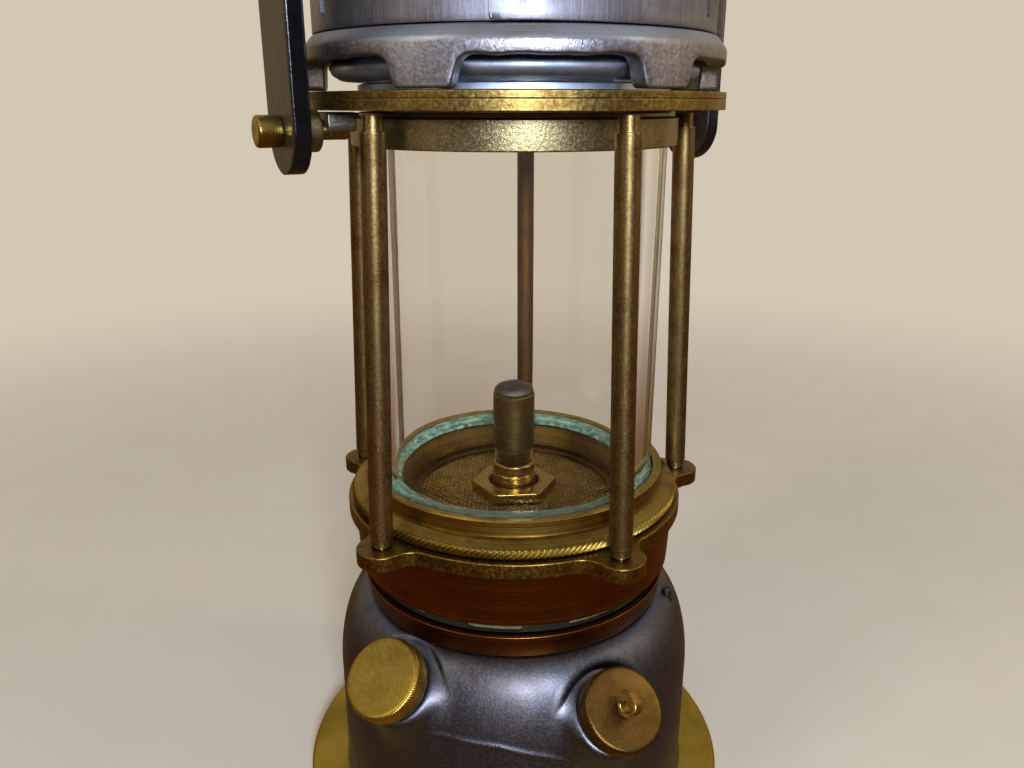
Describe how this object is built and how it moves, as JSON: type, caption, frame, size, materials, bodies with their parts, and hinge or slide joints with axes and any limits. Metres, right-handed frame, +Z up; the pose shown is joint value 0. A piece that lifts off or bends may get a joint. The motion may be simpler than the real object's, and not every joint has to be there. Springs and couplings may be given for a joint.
{
  "type": "miners lamp",
  "caption": "Flame safety lamp with a fuel vessel, glass in a pillar frame, slotted bonnet with a castellated base, screwed filler caps and a swinging carrying bail.",
  "frame": {"origin": "centre of the foot's underside, on the lamp's axis", "axes": "+Z up along the lamp's axis, the bail's pivots lie along X, and the right filler cap faces about -Y"},
  "size_m": [0.1036, 0.101, 0.2699],
  "materials": {
    "brass": "dull satin",
    "foot_brass": "satin",
    "cast_aluminium": "satin casting",
    "sheet_aluminium": "satin",
    "black_paint": "gloss",
    "glass": "clear gloss",
    "teal_rubber": "matte",
    "fibre": "matte",
    "gauze": "woven matte",
    "steel": "dull"
  },
  "bodies": {
    "vessel": {"foot_disc": "foot_brass", "fuel_vessel": "cast_aluminium", "lock_pin": "steel", "burner_tower": "brass", "gauze_disc": "gauze", "gauze_rim": "brass", "gauze_nut": "brass", "burner_collar": "brass", "burner_tube": "brass", "burner_tip": "steel"},
    "left_washer": {"filler_washer_left": "fibre"},
    "left_cap": {"filler_cap_left": "brass"},
    "right_washer": {"filler_washer_right": "fibre"},
    "right_cap": {"filler_cap_right": "brass", "seal_eye": "brass"},
    "seal": {"frame_seal": "fibre"},
    "frame": {"thread_collar": "brass", "air_ring": "steel", "barrel": "brass", "pillar_plate": "brass", "glass_seat": "brass", "lower_gasket": "teal_rubber", "glass": "glass", "upper_gasket": "fibre", "glass_collar": "brass", "pillar_1": "brass", "pillar_2": "brass", "pillar_3": "brass", "pillar_4": "brass", "pillar_5": "brass", "pillar_screw_1": "brass", "pillar_screw_2": "brass", "pillar_screw_3": "brass", "pillar_screw_4": "brass", "pillar_screw_5": "brass", "ring_lower": "brass", "ring_upper": "brass", "pivot_bracket_left": "brass", "pivot_bracket_right": "brass", "pivot_collar_left": "brass", "pivot_collar_right": "brass", "pivot_pin_left": "brass", "pivot_pin_right": "brass", "bonnet_base": "cast_aluminium", "deflector": "sheet_aluminium", "gauze_chimney": "gauze", "gauze_lid": "gauze", "bonnet_shell": "sheet_aluminium", "bonnet_top": "sheet_aluminium"},
    "bail": {"bail": "black_paint"}
  },
  "joints": [
    {"name": "left_cap_travel", "type": "slide", "parent": "vessel", "child": "left_washer", "axis": [-0.6077, -0.2642, 0.749], "range_m": [0, 0.004]},
    {"name": "left_cap_turn", "type": "hinge", "parent": "left_washer", "child": "left_cap", "pos_m": [-0.03728, -0.01621, 0.04306], "axis": [-0.6077, -0.2642, 0.749], "range_deg": [0, 720]},
    {"name": "right_cap_travel", "type": "slide", "parent": "vessel", "child": "right_washer", "axis": [-0.0439, -0.6612, 0.749], "range_m": [0, 0.004]},
    {"name": "right_cap_turn", "type": "hinge", "parent": "right_washer", "child": "right_cap", "pos_m": [-0.00279, -0.04206, 0.03956], "axis": [-0.0439, -0.6612, 0.749], "range_deg": [0, 720]},
    {"name": "frame_travel", "type": "slide", "parent": "vessel", "child": "seal", "axis": [0, 0, 1], "range_m": [0, 0.004]},
    {"name": "frame_turn", "type": "hinge", "parent": "seal", "child": "frame", "pos_m": [0, 0, 0.0433], "axis": [0, 0, 1], "range_deg": [0, 720]},
    {"name": "bail_swing", "type": "hinge", "parent": "frame", "child": "bail", "pos_m": [0, 0, 0.1486], "axis": [1, 0, 0], "range_deg": [-153, 148]}
  ],
  "couplings": [
    {"joint": "left_cap_travel", "follows": "left_cap_turn", "m_per_rad": 0.0003183},
    {"joint": "right_cap_travel", "follows": "right_cap_turn", "m_per_rad": 0.0003183},
    {"joint": "frame_travel", "follows": "frame_turn", "m_per_rad": 0.0003183}
  ]
}
